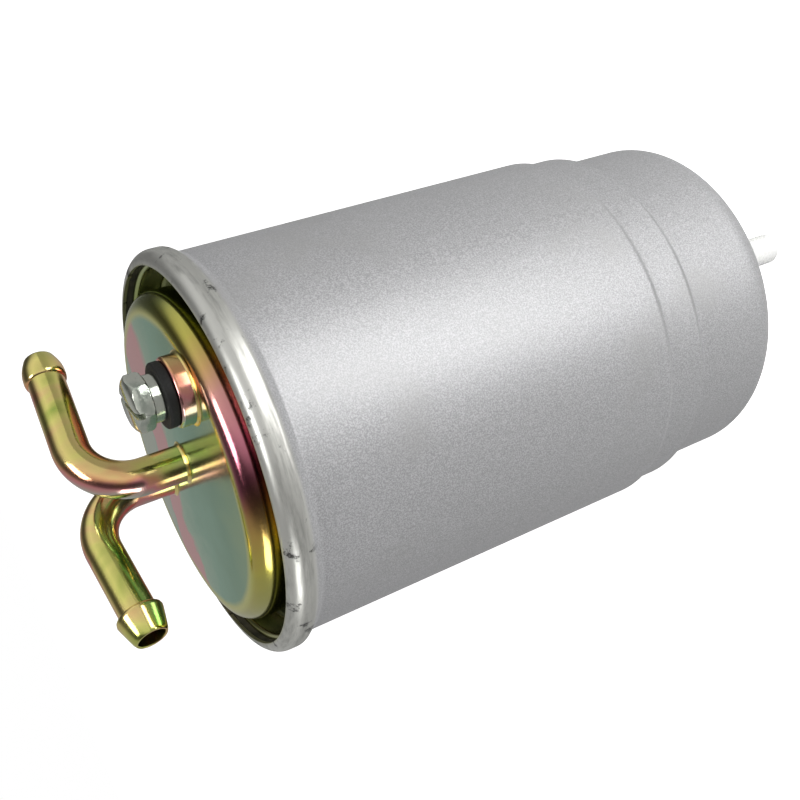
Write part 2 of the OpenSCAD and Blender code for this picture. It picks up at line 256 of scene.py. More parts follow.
def make_can():
    roll_c = (RIM_R - ROLL, RIM_TOP - ROLL)
    corner_c = (NECK_R - BOTTOM_ROUND, CAN_BOTTOM + BOTTOM_ROUND)
    outside = (
        round_corner(roll_c, ROLL, 90, 0, 14)
        + round_corner((RIM_R - 1.5 * MM, WALL_TOP + 3.35 * MM), 1.5 * MM, 0, -40, 5)
        + round_corner((CAN_R + 1.5 * MM, WALL_TOP - 0.25 * MM), 1.5 * MM, 140, 180, 5)
        + step_in(CAN_R, WAIST_R, WALL_LOW, 1.6 * MM, 1.6 * MM)
        + step_in(WAIST_R, NECK_R, WALL_LOW - STEP_GAP, 1.2 * MM, 1.2 * MM)
        + round_corner(corner_c, BOTTOM_ROUND, 0, -90, 16)
        + [(13.7 * MM, CAN_BOTTOM), (13.3 * MM, CAN_BOTTOM + 0.15 * MM)]
        + [(11.7 * MM, DISH_Z - 0.15 * MM), (11.3 * MM, DISH_Z)]
    )
    inside = (
        [(11.5 * MM, DISH_Z + SHEET), (13.9 * MM, CAN_BOTTOM + SHEET)]
        + round_corner(corner_c, BOTTOM_ROUND - SHEET, -90, 0, 10)
        + step_in(WAIST_R - SHEET, NECK_R - SHEET, WALL_LOW - STEP_GAP, 0.4 * MM, 2 * MM)[::-1]
        + step_in(CAN_R - SHEET, WAIST_R - SHEET, WALL_LOW, 0.8 * MM, 2.4 * MM)[::-1]
        + round_corner((CAN_R + 1.5 * MM, WALL_TOP - 0.25 * MM), 2.3 * MM, 180, 140, 5)
        + round_corner((RIM_R - 1.5 * MM, WALL_TOP + 3.35 * MM), 0.7 * MM, -40, 0, 4)
        + round_corner(roll_c, ROLL - SHEET, 0, 90, 10)
        + [(roll_c[0], RIM_TOP - SHEET * 0.6)]
    )
    wall = turned("can_wall", inside + outside, segments=256, solid=True)
    cut_away(wall, rod("drain_hole", PLUG, 6.05 * MM, CAN_BOTTOM - MM, CAN_BOTTOM + 2 * MM))
    settle(wall)
    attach(wall, "can")
    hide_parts("can_shell")
    return wall


def make_end_plate():
    wall_r = FACE_R + SHOULDER
    above = (
        [(30.5 * MM, FACE_Z), (31.4 * MM, FACE_Z)]
        + round_corner((FACE_R, FACE_Z - SHOULDER), SHOULDER, 90, 0, 18)
        + round_corner((wall_r + 1.5 * MM, MOAT_Z + 1.5 * MM), 1.5 * MM, 180, 270, 8)
        + round_corner((MOAT_R - 1.5 * MM, MOAT_Z + 1.5 * MM), 1.5 * MM, 270, 360, 8)
        + round_corner((MOAT_R + MM, FLANGE_Z - MM), MM, 180, 90, 8)
        + [(RIM_R - 1.2 * MM, FLANGE_Z)]
    )
    below = (
        [(RIM_R - 1.2 * MM, FLANGE_Z - MM), (MOAT_R + MM, FLANGE_Z - MM)]
        + [(MOAT_R + MM, MOAT_Z - 0.4 * MM), (MOAT_R + 0.4 * MM, MOAT_Z - MM)]
        + [(wall_r + 0.8 * MM, MOAT_Z - MM), (wall_r - PLATE, MOAT_Z)]
        + round_corner((FACE_R, FACE_Z - SHOULDER), SHOULDER - PLATE, 0, 90, 10)
        + [(30.5 * MM, FACE_Z - PLATE)]
    )
    plate = turned("plate_dome", above + below, segments=256, solid=True)
    for centre, r in ((OUTLET, PIPE_R), (INLET, PIPE_R), (BOSS, 5.5 * MM)):
        cut_away(plate, rod("plate_hole", centre, r + 0.05 * MM, FACE_Z - 4 * MM, FACE_Z + MM))
    settle(plate)
    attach(plate, "can")
    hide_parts("end_plate")
    return plate


# ---------------------------------------------------------------- the pipes


def carry_ring(outline, heading, at):
    """Carries the selected ring along a straight line, by (radius, distance) points."""
    for (r0, d0), (r1, d1) in zip(outline, outline[1:]):
        bpy.ops.mesh.extrude_region_move(TRANSFORM_OT_translate={"value": heading * (d1 - d0)})
        if abs(r1 - r0) > 1e-9:
            k = r1 / r0
            bpy.ops.transform.resize(value=(k, k, k), center_override=at + heading * d1)


def bent_pipe(name, foot, stub_z, side, leg, bead):
    """Pipe bent once: stub, riser, bend towards +X or -X, leg and bead, then back along the bore."""
    clear_selection()
    bpy.ops.mesh.primitive_circle_add(
        vertices=56, radius=PIPE_R, fill_type="NOTHING", location=(foot.x, foot.y, stub_z)
    )
    pipe = name_piece(name)
    bpy.ops.object.mode_set(mode="EDIT")
    bpy.ops.mesh.select_all(action="SELECT")
    follow_outline([(PIPE_R, stub_z), (PIPE_R, FACE_Z), (PIPE_R, RISER_TOP)], foot)
    middle = Vector((foot.x + side * BEND_R, foot.y, RISER_TOP))
    start = middle + Vector((-side * BEND_R * math.cos(BEND_A), 0, BEND_R * math.sin(BEND_A)))
    heading = Vector((side * math.sin(BEND_A), 0, math.cos(BEND_A)))
    bpy.ops.mesh.spin(steps=28, angle=BEND_A, center=middle, axis=(0, -side, 0))
    carry_ring([(PIPE_R, 0), (PIPE_R, leg)] + [(r, leg + d) for r, d in bead], heading, start)
    end = leg + bead[-1][1]
    mouth = [(bead[-1][0], end), (BORE_R + 0.12 * MM, end), (BORE_R, end - 0.15 * MM), (BORE_R, 0)]
    carry_ring(mouth, heading, start)
    bpy.ops.mesh.spin(steps=28, angle=-BEND_A, center=middle, axis=(0, -side, 0))
    follow_outline([(BORE_R, RISER_TOP), (BORE_R, stub_z)], foot)
    bpy.ops.mesh.select_all(action="DESELECT")
    bpy.ops.mesh.select_non_manifold()
    bpy.ops.mesh.bridge_edge_loops()
    bpy.ops.object.mode_set(mode="OBJECT")
    settle(pipe)
    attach(pipe, "can")
    return pipe


def make_pipes():
    """Both pipes: beads are (radius, distance past the leg) outlines."""
    widest, tip, crown_height = 4.55 * MM, 3.5 * MM, 0.35 * MM
    crown = [
        (widest + (tip - widest) * t + crown_height * math.sin(math.pi * t), 1.1 * MM + 5.0 * MM * t)
        for t in [i / 12 for i in range(13)]
    ]
    rounded = (
        [(4.0 * MM, 0), (4.25 * MM, 0.15 * MM), (4.45 * MM, 0.5 * MM)]
        + crown
        + [(3.35 * MM, BEAD_L - 0.15 * MM), (3.2 * MM, BEAD_L)]
    )
    outlet = bent_pipe("outlet_tube", OUTLET, outlet_low.z, 1, OUTLET_LEG, rounded)
    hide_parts("outlet_pipe")
    coned = [
        (4.05 * MM, 0), (4.6 * MM, 0.2 * MM), (4.95 * MM, 0.55 * MM), (5.1 * MM, 1.1 * MM),
        (5.02 * MM, 1.5 * MM), (4.8 * MM, 2.4 * MM), (4.3 * MM, 4.3 * MM), (3.85 * MM, 5.9 * MM),
        (3.6 * MM, BEAD_L - 0.2 * MM), (3.45 * MM, BEAD_L),
    ]
    inlet = bent_pipe("inlet_tube", INLET, inlet_low.z, -1, INLET_LEG, coned)
    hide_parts("inlet_pipe")
    return outlet, inlet


# ---------------------------------------------------------------- vent and drain


def make_vent_boss():
    z = FACE_Z
    boss = turned(
        "vent_seat",
        [(5.5 * MM, z - 2.7 * MM), (5.5 * MM, z)]
        + [(BOSS_R - 0.25 * MM, z + 0.02 * MM), (BOSS_R, z + 0.2 * MM)]
        + round_corner((BOSS_R - 0.6 * MM, BOSS.z - 0.6 * MM), 0.6 * MM, 0, 90, 8)
        + [(4.5 * MM, BOSS.z), (4.05 * MM, BOSS.z - 0.4 * MM), (4.05 * MM, z - 2.7 * MM)],
        BOSS,
    )
    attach(boss, "can")
    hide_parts("vent_boss")
    return boss


def washer(name, centre, low, high, edge):
    """Flat ring that fills the seal's box, with its outer edges rounded."""
    radius = (high.x - low.x) / 2
    return turned(
        name,
        [(SEAL_BORE_R + 0.15 * MM, low.z), (radius - edge, low.z)]
        + round_corner((radius - edge, low.z + edge), edge, -90, 0, 5)
        + round_corner((radius - edge, high.z - edge), edge, 0, 90, 5)
        + [(SEAL_BORE_R + 0.15 * MM, high.z)]
        + [(SEAL_BORE_R, high.z - 0.15 * MM), (SEAL_BORE_R, low.z + 0.15 * MM)],
        centre,
        segments=96,
    )


def make_seals():
    vent = washer("vent_washer_ring", BOSS, seal_low, seal_high, 0.45 * MM)
    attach(vent, "vent_washer")
    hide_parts("vent_seal")
    drain = washer("drain_washer_ring", PLUG, drain_seal_low, drain_seal_high, 0.3 * MM)
    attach(drain, "drain_washer")
    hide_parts("drain_seal")
    return vent, drain


def threaded_shank(name, centre, z0, z1, radius, pitch, depth):
    """Shank with a cut screw thread, made by winding one tooth's outline up the axis."""
    clear_selection()
    turns = int((z1 - z0) / pitch) - 1
    root = radius - depth
    bpy.ops.mesh.primitive_plane_add(size=pitch, location=(root, 0, 0))
    shank = name_piece(name)
    bpy.ops.object.transform_apply(location=True)
    bpy.ops.object.mode_set(mode="EDIT")
    bpy.ops.mesh.select_all(action="SELECT")
    bpy.ops.mesh.merge(type="CENTER")
    tooth = [(root, 0), (root, 0.1), (radius, 0.42), (radius, 0.58), (root, 0.9), (root, 1)]
    for (r0, h0), (r1, h1) in zip(tooth, tooth[1:]):
        step = (r1 - r0, 0, (h1 - h0) * pitch)
        bpy.ops.mesh.extrude_region_move(TRANSFORM_OT_translate={"value": step})
    bpy.ops.object.mode_set(mode="OBJECT")
    apply_modifier(
        shank, "SCREW", axis="Z", angle=2 * math.pi, screw_offset=pitch, iterations=turns,
        steps=40, render_steps=40, use_merge_vertices=True, merge_threshold=0.000001,
        use_smooth_shade=True,
    )
    shank.location = (centre[0], centre[1], z0 + 0.5 * pitch)
    bpy.ops.object.mode_set(mode="EDIT")
    bpy.ops.mesh.select_all(action="SELECT")
    bpy.ops.mesh.remove_doubles(threshold=0.000002)
    bpy.ops.mesh.select_all(action="DESELECT")
    bpy.ops.mesh.select_non_manifold()
    bpy.ops.mesh.edge_face_add()
    bpy.ops.object.mode_set(mode="OBJECT")
    settle(shank, 50)
    core = turned(
        name + "_core",
        [(root - 0.4 * MM, z0), (root, z0 + 0.35 * MM)]
        + [(root + 0.02 * MM, z1 - 0.3 * MM), (radius - 0.3 * MM, z1)],
        centre, segments=64, solid=True,
    )
    join_into(shank, core)
    return shank


def break_edges(piece, width):
    apply_modifier(
        piece, "BEVEL", width=width, segments=2, limit_method="ANGLE", angle_limit=math.radians(40)
    )


def hexagon_head(name, centre, flats, z0, z1, turn, rim, crown):
    """Six-sided head, chamfered by keeping only what lies inside a turned blank."""
    clear_selection()
    across = flats / math.sqrt(3)
    bpy.ops.mesh.primitive_cylinder_add(
        vertices=6, radius=across, depth=z1 - z0, location=(centre[0], centre[1], (z0 + z1) / 2),
        rotation=(0, 0, math.radians(turn)),
    )
    head = name_piece(name)
    bpy.ops.object.transform_apply(location=True, rotation=True, scale=True)
    bpy.ops.object.mode_set(mode="EDIT")
    bpy.ops.mesh.select_all(action="SELECT")
    bpy.ops.mesh.bevel(offset=0.12 * MM, segments=2)
    bpy.ops.object.mode_set(mode="OBJECT")
    side = across + 0.05 * MM
    blank = turned(
        name + "_blank",
        [(across - 0.5 * MM, z0 - 0.01 * MM), (side, z0 + rim), (side, z1 - crown)]
        + [(across - 0.75 * MM, z1 - crown * 0.35), (across - 1.5 * MM, z1 + 0.01 * MM)],
        centre, segments=96, solid=True,
    )
    keep_inside(head, blank)
    return head


def make_vent_screw():
    neck_z = seal_high.z + UNDER_HEAD
    head_z = neck_z + 2.1 * MM
    top = screw_high.z
    head = hexagon_head("vent_bolt", BOSS, VENT_FLATS, head_z, top, SLOT_TURN - 30, 0.6 * MM, 1.1 * MM)
    clear_selection()
    bpy.ops.mesh.primitive_cube_add(
        size=1, location=(BOSS.x, BOSS.y, top), rotation=(0, 0, math.radians(SLOT_TURN))
    )
    slot = name_piece("driver_slot")
    slot.scale = (14 * MM, SLOT_WIDE, 2 * SLOT_DEEP)
    settle(slot)
    cut_away(head, slot)
    break_edges(head, 0.12 * MM)
    neck = turned(
        "vent_neck",
        [(4.2 * MM, neck_z), (4.6 * MM, neck_z + 0.02 * MM), (4.75 * MM, neck_z + 0.2 * MM)]
        + [(4.75 * MM, head_z - 0.15 * MM), (4.9 * MM, head_z + 0.02 * MM)],
        BOSS, segments=96, solid=True,
    )
    shank = threaded_shank("vent_thread", BOSS, screw_low.z, neck_z, SHANK_R, VENT_PITCH, 0.5 * MM)
    join_into(head, neck, shank)
    settle(head, 30)
    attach(head, "vent_screw")
    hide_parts("vent_screw")
    return head


def make_drain_plug():
    head_high = PLUG.z - UNDER_HEAD
    head_low = head_high - DRAIN_HEAD
    head = hexagon_head(
        "drain_nut", PLUG, DRAIN_FLATS, head_low, head_high, DRAIN_TURN - 30, 0.7 * MM, 0.4 * MM
    )
    tip = plug_low.z
    nipple = turned(
        "drain_spout",
        [(DRAIN_BORE_R, tip), (DRAIN_BORE_R + 0.15 * MM, tip)]
        + round_corner((NIPPLE_R - 1.1 * MM, tip + 1.1 * MM), 1.1 * MM, -90, 0, 10)
        + [(NIPPLE_R, head_low - 0.5 * MM), (NIPPLE_R + 0.15 * MM, head_low - 0.15 * MM)]
        + [(NIPPLE_R + 0.6 * MM, head_low + 0.05 * MM), (DRAIN_BORE_R, head_low + 0.05 * MM)],
        PLUG, segments=96,
    )
    cut_away(head, rod("drain_bore", PLUG, DRAIN_BORE_R, head_low - MM, head_high + MM))
    break_edges(head, 0.15 * MM)
    shank = threaded_shank(
        "drain_thread", PLUG, head_high - 0.1 * MM, plug_high.z, SHANK_R, DRAIN_PITCH, 0.6 * MM
    )
    join_into(head, nipple, shank)
    settle(head, 30)
    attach(head, "drain_plug")
    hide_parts("drain_plug")
    return head


# ---------------------------------------------------------------- shader groups


def group_with(name, inputs, outputs):
    tree = bpy.data.node_groups.new(name, "ShaderNodeTree")
    for label, kind, value in inputs:
        s = tree.interface.new_socket(label, in_out="INPUT", socket_type=kind)
        if value is not None:
            s.default_value = value
    for label, kind in outputs:
        tree.interface.new_socket(label, in_out="OUTPUT", socket_type=kind)
    return tree, tree.nodes.new("NodeGroupInput"), tree.nodes.new("NodeGroupOutput")


def add(tree, kind, **values):
    """A node with its properties set; a value named in_N goes to input socket N."""
    node = tree.nodes.new(kind)
    for key, value in values.items():
        if key.startswith("in_"):
            label = key[3:]
            node.inputs[int(label) if label.isdigit() else label].default_value = value
        else:
            setattr(node, key, value)
    return node


def ramp(tree, stops, mode="LINEAR"):
    node = tree.nodes.new("ShaderNodeValToRGB")
    node.color_ramp.interpolation = mode
    items = node.color_ramp.elements
    while len(items) > 1:
        items.remove(items[-1])
    for i, (place, colour) in enumerate(stops):
        item = items[0] if i == 0 else items.new(place)
        item.position = place
        item.color = (*colour, 1) if len(colour) == 3 else colour
    return node


def even_grey(value):
    return (value, value, value)


def make_film_group():
    """Yellow chromate: a thin film whose colour runs from straw through pink to green as it thickens."""
    tree, gin, gout = group_with(
        "chromate_film",
        [
            ("Place", "NodeSocketVector", None),
            ("Patch", "NodeSocketFloat", 60.0),
            ("Film", "NodeSocketFloat", 0.5),
            ("Wander", "NodeSocketFloat", 0.3),
        ],
        [("Colour", "NodeSocketColor"), ("Cloud", "NodeSocketFloat")],
    )
    cloud = add(tree, "ShaderNodeTexNoise", in_Detail=3.0, in_Roughness=0.55, in_Distortion=0.6)
    tree.links.new(gin.outputs["Place"], cloud.inputs["Vector"])
    tree.links.new(gin.outputs["Patch"], cloud.inputs["Scale"])
    centred = add(tree, "ShaderNodeMath", operation="SUBTRACT", in_1=0.5)
    tree.links.new(cloud.outputs["Fac"], centred.inputs[0])
    spread = add(tree, "ShaderNodeMath", operation="MULTIPLY_ADD")
    tree.links.new(centred.outputs[0], spread.inputs[0])
    tree.links.new(gin.outputs["Wander"], spread.inputs[1])
    tree.links.new(gin.outputs["Film"], spread.inputs[2])
    film = ramp(tree, [
        (0.0, (0.18, 0.38, 0.12)), (0.10, (0.50, 0.58, 0.13)), (0.26, (0.84, 0.78, 0.24)),
        (0.38, (0.90, 0.68, 0.28)), (0.50, (0.86, 0.42, 0.22)), (0.60, (0.82, 0.32, 0.32)),
        (0.70, (0.66, 0.46, 0.40)), (0.82, (0.42, 0.62, 0.48)), (1.0, (0.64, 0.72, 0.26)),
    ])
    tree.links.new(spread.outputs[0], film.inputs["Fac"])
    tree.links.new(film.outputs["Color"], gout.inputs["Colour"])
    tree.links.new(cloud.outputs["Fac"], gout.inputs["Cloud"])
    return tree


def make_scuff_group():
    """Dark flecks, stains and hairline scratches left by handling."""
    tree, gin, gout = group_with(
        "handling_marks",
        [
            ("Place", "NodeSocketVector", None),
            ("Size", "NodeSocketFloat", 120.0),
            ("Share", "NodeSocketFloat", 0.3),
        ],
        [("Flecks", "NodeSocketFloat"), ("Scratches", "NodeSocketFloat")],
    )
    spots = add(tree, "ShaderNodeTexNoise", in_Detail=6.0, in_Roughness=0.7)
    tree.links.new(gin.outputs["Place"], spots.inputs["Vector"])
    tree.links.new(gin.outputs["Size"], spots.inputs["Scale"])
    low = add(tree, "ShaderNodeMath", operation="SUBTRACT", in_0=0.78)
    tree.links.new(gin.outputs["Share"], low.inputs[1])
    high = add(tree, "ShaderNodeMath", operation="ADD", in_1=0.08)
    tree.links.new(low.outputs[0], high.inputs[0])
    pick = add(tree, "ShaderNodeMapRange", interpolation_type="SMOOTHSTEP")
    tree.links.new(spots.outputs["Fac"], pick.inputs["Value"])
    tree.links.new(low.outputs[0], pick.inputs["From Min"])
    tree.links.new(high.outputs[0], pick.inputs["From Max"])
    tree.links.new(pick.outputs["Result"], gout.inputs["Flecks"])
    stretch = add(tree, "ShaderNodeVectorMath", operation="MULTIPLY", in_1=(1.0, 1.0, 0.06))
    tree.links.new(gin.outputs["Place"], stretch.inputs[0])
    lines = add(tree, "ShaderNodeTexNoise", in_Scale=900.0, in_Detail=2.0)
    tree.links.new(stretch.outputs[0], lines.inputs["Vector"])
    fine = add(tree, "ShaderNodeMapRange", in_1=0.66, in_2=0.72)
    tree.links.new(lines.outputs["Fac"], fine.inputs["Value"])
    tree.links.new(fine.outputs["Result"], gout.inputs["Scratches"])
    return tree


def make_grain_group():
    """Fine grain of paint, plating and moulding: a height, and a speckle value round a half."""
    tree, gin, gout = group_with(
        "fine_grain",
        [
            ("Place", "NodeSocketVector", None),
            ("Fine", "NodeSocketFloat", 2500.0),
            ("Broad", "NodeSocketFloat", 300.0),
        ],
        [("Height", "NodeSocketFloat"), ("Speckle", "NodeSocketFloat")],
    )
    fine = add(tree, "ShaderNodeTexNoise", in_Detail=2.0, in_Roughness=0.6)
    broad = add(tree, "ShaderNodeTexNoise", in_Detail=1.0, in_Roughness=0.5)
    for node, socket in ((fine, "Fine"), (broad, "Broad")):
        tree.links.new(gin.outputs["Place"], node.inputs["Vector"])
        tree.links.new(gin.outputs[socket], node.inputs["Scale"])
    both = add(tree, "ShaderNodeMath", operation="MULTIPLY_ADD", in_1=0.3)
    tree.links.new(fine.outputs["Fac"], both.inputs[0])
    tree.links.new(broad.outputs["Fac"], both.inputs[2])
    tree.links.new(both.outputs[0], gout.inputs["Height"])
    tree.links.new(fine.outputs["Fac"], gout.inputs["Speckle"])
    return tree


film_group = make_film_group()
scuff_group = make_scuff_group()
grain_group = make_grain_group()


# ---------------------------------------------------------------- materials


def finish_named(name):
    mat = bpy.data.materials.new(name)
    mat.use_nodes = True
    tree = mat.node_tree
    shader = tree.nodes["Principled BSDF"]
    coords = tree.nodes.new("ShaderNodeTexCoord")
    return mat, tree, shader, coords.outputs["Object"]


def placed(tree, group, place, **values):
    node = tree.nodes.new("ShaderNodeGroup")
    node.node_tree = group
    tree.links.new(place, node.inputs["Place"])
    for key, value in values.items():
        node.inputs[key].default_value = value
    return node


def mixed(tree, a, b, mask, mode="MIX"):
    """Colour mix; a and b are sockets or plain colours."""
    node = add(tree, "ShaderNodeMix", data_type="RGBA", blend_type=mode)
    for value, socket in ((a, node.inputs[6]), (b, node.inputs[7])):
        if isinstance(value, tuple):
            socket.default_value = (*value, 1)
        else:
            tree.links.new(value, socket)
    if isinstance(mask, float):
        node.inputs[0].default_value = mask
    else:
        tree.links.new(mask, node.inputs[0])
    return node.outputs[2]


def blended(tree, a, b, mask):
    """Value mix; a and b are plain numbers or sockets."""
    node = add(tree, "ShaderNodeMix", data_type="FLOAT")
    for value, socket in ((a, node.inputs[2]), (b, node.inputs[3])):
        if isinstance(value, (int, float)):
            socket.default_value = value
        else:
            tree.links.new(value, socket)
    tree.links.new(mask, node.inputs[0])
    return node.outputs[0]


def ranged(tree, value, low, high, out_low=0.0, out_high=1.0, smooth=True):
    node = add(tree, "ShaderNodeMapRange", in_1=low, in_2=high, in_3=out_low, in_4=out_high)
    if smooth:
        node.interpolation_type = "SMOOTHSTEP"
    tree.links.new(value, node.inputs["Value"])
    return node.outputs["Result"]


def bumped(tree, shader, height, strength, distance):
    node = add(tree, "ShaderNodeBump", in_Strength=strength, in_Distance=distance)
    tree.links.new(height, node.inputs["Height"])
    tree.links.new(node.outputs["Normal"], shader.inputs["Normal"])
    return node


def speckled(tree, grain, low, high):
    """A value that follows the grain's speckle between two limits."""
    return ranged(tree, grain.outputs["Speckle"], 0.3, 0.7, low, high)


def finished(tree, shader, colour, marks, fleck, roughness, grain, strength, distance):
    """Flecks over a colour, with roughness and grain, on the shader."""
    tree.links.new(mixed(tree, colour, fleck, marks.outputs["Flecks"]), shader.inputs["Base Color"])
    tree.links.new(roughness, shader.inputs["Roughness"])
    bumped(tree, shader, grain.outputs["Height"], strength, distance)


def axis_parts(tree, place):
    """Height up the can's axis and distance from it."""
    split = add(tree, "ShaderNodeSeparateXYZ")
    tree.links.new(place, split.inputs[0])
    flat = add(tree, "ShaderNodeVectorMath", operation="MULTIPLY", in_1=(1.0, 1.0, 0.0))
    tree.links.new(place, flat.inputs[0])
    reach = add(tree, "ShaderNodeVectorMath", operation="LENGTH")
    tree.links.new(flat.outputs[0], reach.inputs[0])
    return split.outputs["Z"], reach.outputs["Value"]


def silver_can_paint():
    """Silver paint with a fine sparkle on the wall, worn to bare whitish metal on the rolled rim."""
    mat, tree, shader, place = finish_named("silver_can_paint")
    height, reach = axis_parts(tree, place)
    grain = placed(tree, grain_group, place, Fine=3400.0, Broad=600.0)
    marks = placed(tree, scuff_group, place, Size=55.0, Share=0.02)
    flecks = placed(tree, scuff_group, place, Size=200.0, Share=0.21)
    cloud = add(tree, "ShaderNodeTexNoise", in_Scale=35.0, in_Detail=3.0)
    tree.links.new(place, cloud.inputs["Vector"])
    sparkle = ranged(tree, grain.outputs["Speckle"], 0.35, 0.7)
    paint = mixed(tree, (0.33, 0.33, 0.335), (0.53, 0.53, 0.54), sparkle)
    paint = mixed(tree, paint, (0.38, 0.378, 0.375), ranged(tree, cloud.outputs["Fac"], 0.5, 0.8))
    paint = mixed(tree, paint, (0.07, 0.07, 0.075), marks.outputs["Flecks"])
    rim = ranged(tree, height, WALL_TOP + 1.6 * MM, WALL_TOP + 3.0 * MM)
    smear = add(tree, "ShaderNodeTexNoise", in_Scale=150.0, in_Detail=5.0, in_Roughness=0.65)
    drawn = add(tree, "ShaderNodeVectorMath", operation="MULTIPLY", in_1=(0.35, 0.35, 3.0))
    tree.links.new(place, drawn.inputs[0])
    tree.links.new(drawn.outputs[0], smear.inputs["Vector"])
    dull = ranged(tree, smear.outputs["Fac"], 0.42, 0.72)
    bare = mixed(tree, (0.62, 0.62, 0.58), (0.30, 0.30, 0.28), dull)
    # Painted reflection: the rim's inner side, facing the plate, is tinted yellow as the plate's reflection
    plate_reflection_tint = ranged(tree, reach, CAN_R - 0.2 * MM, CAN_R - 1.6 * MM)
    bare = mixed(tree, bare, (0.42, 0.43, 0.24), plate_reflection_tint)
    bare = mixed(tree, bare, (0.10, 0.10, 0.095), flecks.outputs["Flecks"])
    dents = blended(tree, grain.outputs["Height"], smear.outputs["Fac"], rim)
    tree.links.new(mixed(tree, paint, bare, rim), shader.inputs["Base Color"])
    tree.links.new(blended(tree, 0.42, 0.85, rim), shader.inputs["Metallic"])
    bare_rough = ranged(tree, smear.outputs["Fac"], 0.3, 0.7, 0.32, 0.52)
    rough = blended(tree, speckled(tree, grain, 0.44, 0.54), bare_rough, rim)
    tree.links.new(rough, shader.inputs["Roughness"])
    bumped(tree, shader, dents, 0.22, 0.00008)
    return mat


# The view's upward side, towards the overhead sky and key light: chromate faces turned this way get their
# film colour shifted as a painted reflection and shade
PAINTED_SHEEN_UP = (0.337, -0.9415, 0.0)


def chromate_grain(tree, place, roughness):
    """Grain of every chromated piece, and the roughness that follows its speckle."""
    grain = placed(tree, grain_group, place, Fine=3200.0, Broad=700.0)
    return grain, speckled(tree, grain, roughness, roughness + 0.08)


def yellow_chromate(name, patch, film, wander, roughness, facing=0.0):
    """Chromate whose film colour also shifts with how far the face turns towards the view's up side, a
    painted reflection and shade.
    """
    mat, tree, shader, place = finish_named(name)
    coat = placed(tree, film_group, place, Patch=patch, Wander=wander)
    # Painted reflection and shade: how far the face turns towards the view's up side moves the film colour
    # along the ramp
    turn = add(tree, "ShaderNodeVectorMath", operation="DOT_PRODUCT", in_1=PAINTED_SHEEN_UP)
    tree.links.new(tree.nodes["Texture Coordinate"].outputs["Normal"], turn.inputs[0])
    film_and_sheen = add(tree, "ShaderNodeMath", operation="MULTIPLY_ADD", in_1=-facing, in_2=film)
    tree.links.new(turn.outputs["Value"], film_and_sheen.inputs[0])
    tree.links.new(film_and_sheen.outputs[0], coat.inputs["Film"])
    grain, rough = chromate_grain(tree, place, roughness)
    marks = placed(tree, scuff_group, place, Size=240.0, Share=0.10)
    shader.inputs["Metallic"].default_value = 1.0
    colour = coat.outputs["Colour"]
    finished(tree, shader, colour, marks, (0.20, 0.19, 0.12), rough, grain, 0.12, 0.00004)
    return mat


def along(tree, place, direction, length, low, high):
    """Ramp value that runs from low to high across the given length in one direction."""
    scaled = tuple(d / length for d in direction)
    dot = add(tree, "ShaderNodeVectorMath", operation="DOT_PRODUCT", in_1=scaled)
    tree.links.new(place, dot.inputs[0])
    span = add(tree, "ShaderNodeMapRange", in_1=-1.0, in_2=1.0, in_3=low, in_4=high)
    span.clamp = False
    tree.links.new(dot.outputs["Value"], span.inputs["Value"])
    return span.outputs["Result"]


def stirred(tree, value, noise, amount):
    """A value nudged up and down by a noise that lies round a half."""
    node = add(tree, "ShaderNodeMath", operation="MULTIPLY_ADD", in_1=amount)
    tree.links.new(noise, node.inputs[0])
    tree.links.new(value, node.inputs[2])
    return node.outputs[0]


